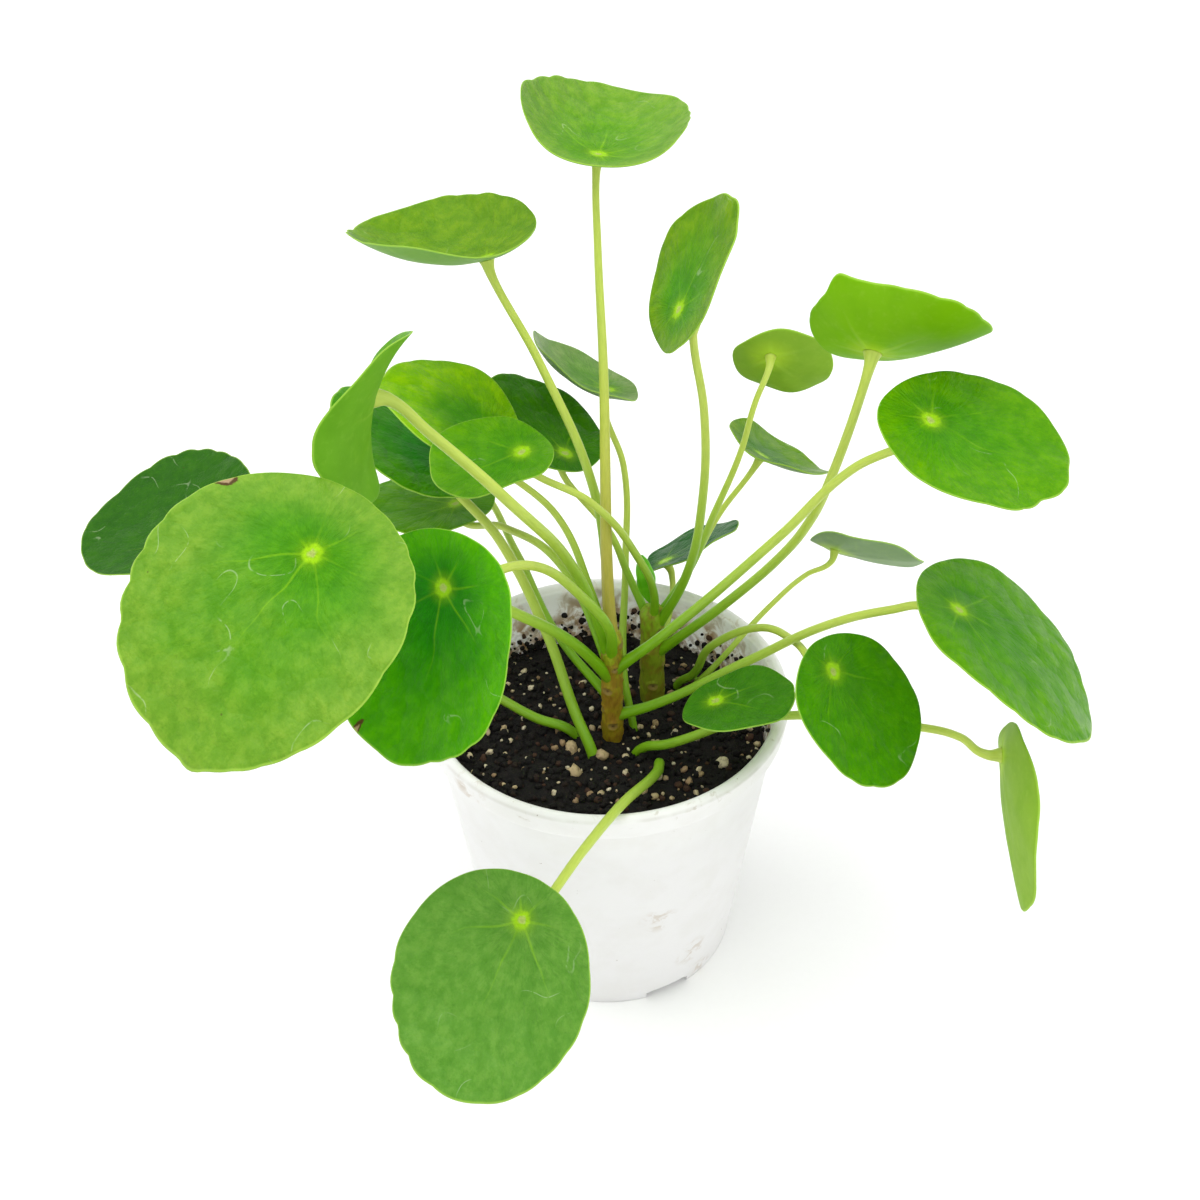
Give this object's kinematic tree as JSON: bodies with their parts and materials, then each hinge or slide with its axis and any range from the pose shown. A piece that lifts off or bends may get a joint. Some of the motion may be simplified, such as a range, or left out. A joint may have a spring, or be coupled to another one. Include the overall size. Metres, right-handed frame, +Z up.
{
  "type": "potted money plant",
  "caption": "Small potted houseplant: round, coin-like green blades on long slender stalks that spread from two short trunks in dark soil in a tapered white plastic nursery pot.",
  "frame": {"origin": "The middle of the pot's flat underside, on the surface it stands on.", "axes": "+Z is up along the pot's axis, +X is to the viewer's right in the usual view, and -Y is towards the viewer."},
  "size_m": [0.2705, 0.2111, 0.2448],
  "materials": {
    "leaf": "smooth, slightly fleshy green blade with a satin sheen and a pale dot at the stalk",
    "stalk": "smooth, juicy pale yellow-green stalk",
    "trunk": "soft olive-brown stem with leaf scars",
    "young_leaf": "unopened dark green leaf",
    "soil": "moist, near-black potting mix with pale grit",
    "pot": "thin white moulded plastic, slightly smudged"
  },
  "bodies": {
    "root": {"blade_back_low": "leaf", "blade_centre_back": "leaf", "blade_centre_dark": "leaf", "blade_front": "leaf", "blade_left_big": "leaf", "blade_left_bright": "leaf", "blade_left_dark": "leaf", "blade_left_far": "leaf", "blade_left_fold": "leaf", "blade_left_inner": "leaf", "blade_left_low": "leaf", "blade_left_mid": "leaf", "blade_left_sliver": "leaf", "blade_right_back": "leaf", "blade_right_edge": "leaf", "blade_right_far": "leaf", "blade_right_front": "leaf", "blade_right_low": "leaf", "blade_right_mid": "leaf", "blade_right_small": "leaf", "blade_right_top": "leaf", "blade_soil_right": "leaf", "blade_top": "leaf", "blade_upper_left": "leaf", "blade_upper_right": "leaf", "pot": "pot", "soil": "soil", "stalk_back_low": "stalk", "stalk_centre_back": "stalk", "stalk_centre_dark": "stalk", "stalk_front": "stalk", "stalk_left_big": "stalk", "stalk_left_bright": "stalk", "stalk_left_dark": "stalk", "stalk_left_far": "stalk", "stalk_left_fold": "stalk", "stalk_left_inner": "stalk", "stalk_left_low": "stalk", "stalk_left_mid": "stalk", "stalk_left_sliver": "stalk", "stalk_right_back": "stalk", "stalk_right_edge": "stalk", "stalk_right_far": "stalk", "stalk_right_front": "stalk", "stalk_right_low": "stalk", "stalk_right_mid": "stalk", "stalk_right_small": "stalk", "stalk_right_top": "stalk", "stalk_soil_right": "stalk", "stalk_top": "stalk", "stalk_upper_left": "stalk", "stalk_upper_right": "stalk", "trunk_back": "trunk", "trunk_front": "trunk", "young_leaf": "young_leaf"}
  },
  "joints": []
}
